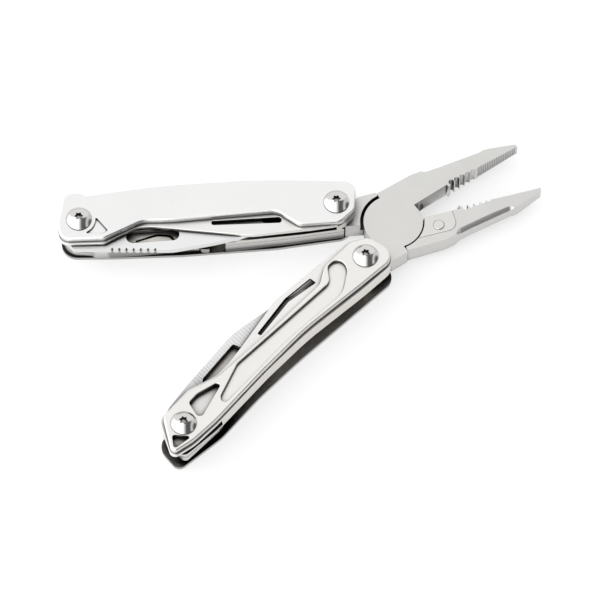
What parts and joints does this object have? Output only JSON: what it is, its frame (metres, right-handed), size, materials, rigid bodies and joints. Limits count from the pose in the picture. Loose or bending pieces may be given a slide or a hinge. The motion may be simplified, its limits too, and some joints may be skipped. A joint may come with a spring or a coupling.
{
  "type": "multi tool",
  "caption": "Folding pliers multi tool with a knife blade and inner tools in one handle, and a saw blade, a file and screwdrivers in the other.",
  "frame": {"origin": "middle of the footprint, on the plane that the back plates rest on", "axes": "+Y towards the pliers' tips, +X towards the saw handle, +Z away from the table, along every pivot"},
  "size_m": [0.098, 0.1482, 0.0177],
  "materials": {
    "satin_plate": "fine satin",
    "grained_plate": "fine bead blasted, slightly warm",
    "lock_liner": "fine long grain",
    "channel": "brushed, sheared edges",
    "polished_screw": "polished",
    "hardware": "turned",
    "blasted_jaw": "bead blasted",
    "cutter": "ground",
    "knife_blade": "satin ground",
    "saw_blade": "cross ground",
    "inner_tool": "tumbled"
  },
  "bodies": {
    "pivot": {"pivot_rivet": "hardware"},
    "rear_jaw": {"rear_jaw": "blasted_jaw", "rear_jaw_cutter": "cutter", "rear_jaw_cutter_pin": "cutter"},
    "front_jaw": {"front_jaw": "blasted_jaw", "front_jaw_cutter": "cutter", "front_jaw_cutter_pin": "cutter"},
    "knife_handle": {"knife_front_plate": "satin_plate", "knife_lock_liner": "lock_liner", "knife_blade_spacer": "channel", "knife_inner_liner": "channel", "knife_back_plate": "channel", "knife_handle_screws": "polished_screw", "knife_handle_posts": "hardware", "knife_joint_washers": "hardware", "knife_blade_washers": "hardware", "knife_tool_washers": "hardware"},
    "saw_handle": {"saw_front_plate": "grained_plate", "saw_lock_liner": "lock_liner", "saw_blade_spacer": "channel", "saw_inner_liner": "channel", "saw_back_plate": "channel", "saw_handle_screws": "polished_screw", "saw_handle_posts": "hardware", "saw_joint_washers": "hardware", "saw_blade_washers": "hardware", "saw_tool_washers": "hardware"},
    "knife_blade": {"knife_blade": "knife_blade"},
    "saw_blade": {"saw_blade": "saw_blade"},
    "large_screwdriver": {"large_screwdriver": "inner_tool"},
    "bottle_opener": {"bottle_opener": "inner_tool"},
    "can_opener": {"can_opener": "inner_tool"},
    "small_screwdriver": {"small_screwdriver": "inner_tool"},
    "cross_screwdriver": {"cross_screwdriver": "inner_tool"},
    "metal_file": {"metal_file": "inner_tool"}
  },
  "joints": [
    {"name": "jaw_squeeze", "type": "hinge", "parent": "pivot", "child": "rear_jaw", "pos_m": [0.0007, 0.02576, 0.0053], "axis": [0, 0, -1], "range_deg": [-19.2, 0]},
    {"name": "front_jaw_close", "type": "hinge", "parent": "pivot", "child": "front_jaw", "pos_m": [0.0007, 0.02576, 0.0053], "axis": [0, 0, -1], "range_deg": [0, 19.2]},
    {"name": "knife_handle_fold", "type": "hinge", "parent": "rear_jaw", "child": "knife_handle", "pos_m": [-0.01006, 0.01074, 0.0053], "axis": [0, 0, -1], "range_deg": [0, 168.35]},
    {"name": "saw_handle_fold", "type": "hinge", "parent": "front_jaw", "child": "saw_handle", "pos_m": [0.01145, 0.01074, 0.0053], "axis": [0, 0, 1], "range_deg": [0, 168.35]},
    {"name": "knife_open", "type": "hinge", "parent": "knife_handle", "child": "knife_blade", "pos_m": [-0.03924, -0.06589, 0.0112], "axis": [0, 0, -1], "range_deg": [0, 175]},
    {"name": "saw_open", "type": "hinge", "parent": "saw_handle", "child": "saw_blade", "pos_m": [0.04064, -0.06589, 0.0112], "axis": [0, 0, -1], "range_deg": [-175, 0]},
    {"name": "large_screwdriver_open", "type": "hinge", "parent": "knife_handle", "child": "large_screwdriver", "pos_m": [-0.03924, -0.06589, 0.00287], "axis": [0, 0, -1], "range_deg": [0, 175]},
    {"name": "bottle_opener_open", "type": "hinge", "parent": "knife_handle", "child": "bottle_opener", "pos_m": [-0.03924, -0.06589, 0.0054], "axis": [0, 0, -1], "range_deg": [0, 175]},
    {"name": "can_opener_open", "type": "hinge", "parent": "knife_handle", "child": "can_opener", "pos_m": [-0.03924, -0.06589, 0.00794], "axis": [0, 0, -1], "range_deg": [0, 175]},
    {"name": "small_screwdriver_open", "type": "hinge", "parent": "saw_handle", "child": "small_screwdriver", "pos_m": [0.04064, -0.06589, 0.00287], "axis": [0, 0, -1], "range_deg": [-175, 0]},
    {"name": "cross_screwdriver_open", "type": "hinge", "parent": "saw_handle", "child": "cross_screwdriver", "pos_m": [0.04064, -0.06589, 0.0054], "axis": [0, 0, -1], "range_deg": [-175, 0]},
    {"name": "metal_file_open", "type": "hinge", "parent": "saw_handle", "child": "metal_file", "pos_m": [0.04064, -0.06589, 0.00794], "axis": [0, 0, -1], "range_deg": [-175, 0]}
  ],
  "couplings": [
    {"joint": "front_jaw_close", "follows": "knife_handle_fold", "ratio": 0.11404},
    {"joint": "saw_handle_fold", "follows": "knife_handle_fold", "ratio": 1}
  ]
}
